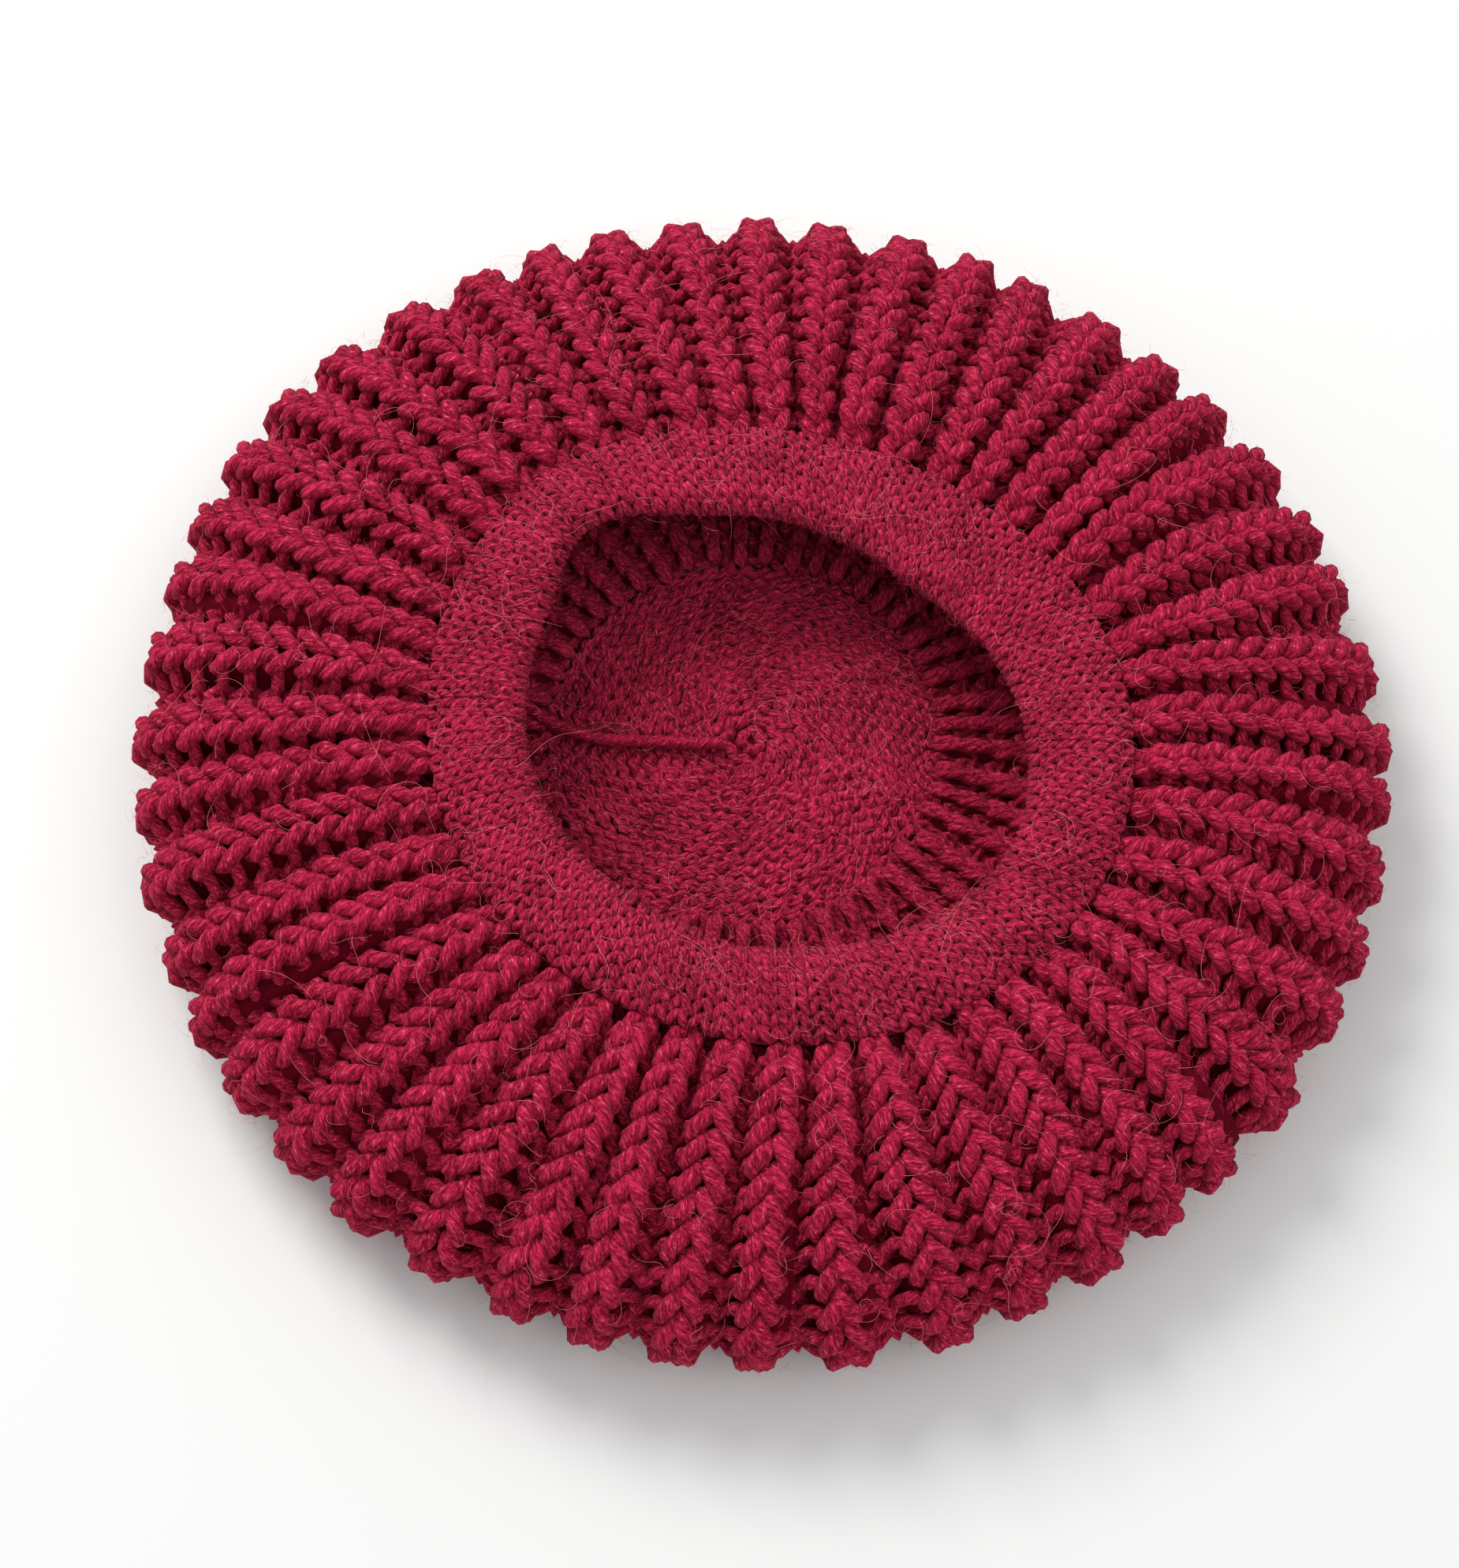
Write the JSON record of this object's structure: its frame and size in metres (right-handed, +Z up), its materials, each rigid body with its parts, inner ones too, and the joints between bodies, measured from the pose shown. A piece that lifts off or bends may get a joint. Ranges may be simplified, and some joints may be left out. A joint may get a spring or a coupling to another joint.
{
  "type": "knit beret",
  "caption": "Hand-knitted wool beret in deep ribs with a folded plain headband, lying on its crown with the head opening up and a loose yarn end inside.",
  "frame": {"origin": "middle of the beret's outline, on the surface that it lies on", "axes": "+Z up, out of the head opening; the crown's loose yarn end runs towards -X, and +Y is the far side in the picture"},
  "size_m": [0.2746, 0.2753, 0.0377],
  "materials": {
    "crimson_wool": "soft plied wool yarn, knitted, with a short pale fuzz"
  },
  "bodies": {
    "root": {"band_ribs": "crimson_wool", "crown_ribs": "crimson_wool", "headband": "crimson_wool", "crown": "crimson_wool", "yarn_tail": "crimson_wool"}
  },
  "joints": []
}
